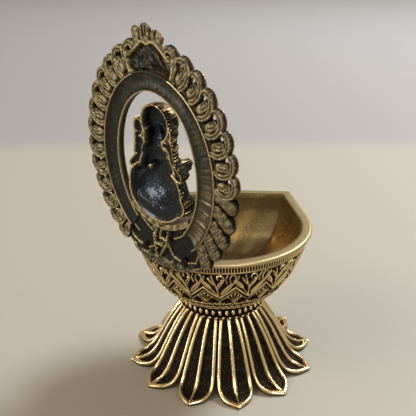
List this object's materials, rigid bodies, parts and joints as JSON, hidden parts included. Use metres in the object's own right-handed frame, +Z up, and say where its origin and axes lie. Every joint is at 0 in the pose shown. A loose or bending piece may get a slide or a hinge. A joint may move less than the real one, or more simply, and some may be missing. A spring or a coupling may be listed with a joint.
{
  "type": "diya oil lamp",
  "caption": "Leaf-shaped brass oil cup on a flared lotus-petal pedestal, with a leaning oval openwork halo and a small seated figure at the back.",
  "frame": {"origin": "centre of the footprint on the table, under the lamp", "axes": "+Z up from the table to the crest of the halo; the spout and the seated figure face -Y; the halo leans back towards +Y; X runs across the halo"},
  "size_m": [0.0654, 0.071, 0.1212],
  "materials": {
    "antique_brass": "cast, gilt highlights over a dark patina",
    "polished_brass": "polished inside, satin lip",
    "dark_cast_brass": "rough casting, olive-brown patina",
    "steel": "plain zinc-plated"
  },
  "bodies": {
    "root": {"lotus_petal_01": "antique_brass", "lotus_petal_02": "antique_brass", "lotus_petal_03": "antique_brass", "lotus_petal_04": "antique_brass", "lotus_petal_05": "antique_brass", "lotus_petal_06": "antique_brass", "lotus_petal_07": "antique_brass", "lotus_petal_08": "antique_brass", "lotus_petal_09": "antique_brass", "lotus_petal_10": "antique_brass", "lotus_petal_11": "antique_brass", "lotus_petal_12": "antique_brass", "pedestal_core": "dark_cast_brass", "beaded_collar": "antique_brass", "pedestal_washer": "steel", "pedestal_screw": "steel", "oil_cup": "polished_brass", "halo_band": "dark_cast_brass", "scroll_border_left": "antique_brass", "scroll_border_right": "antique_brass", "halo_crest": "antique_brass", "halo_foot": "antique_brass", "lotus_seat": "antique_brass", "seated_figure": "antique_brass", "foot_rivet_left": "dark_cast_brass", "foot_rivet_right": "dark_cast_brass"}
  },
  "joints": []
}
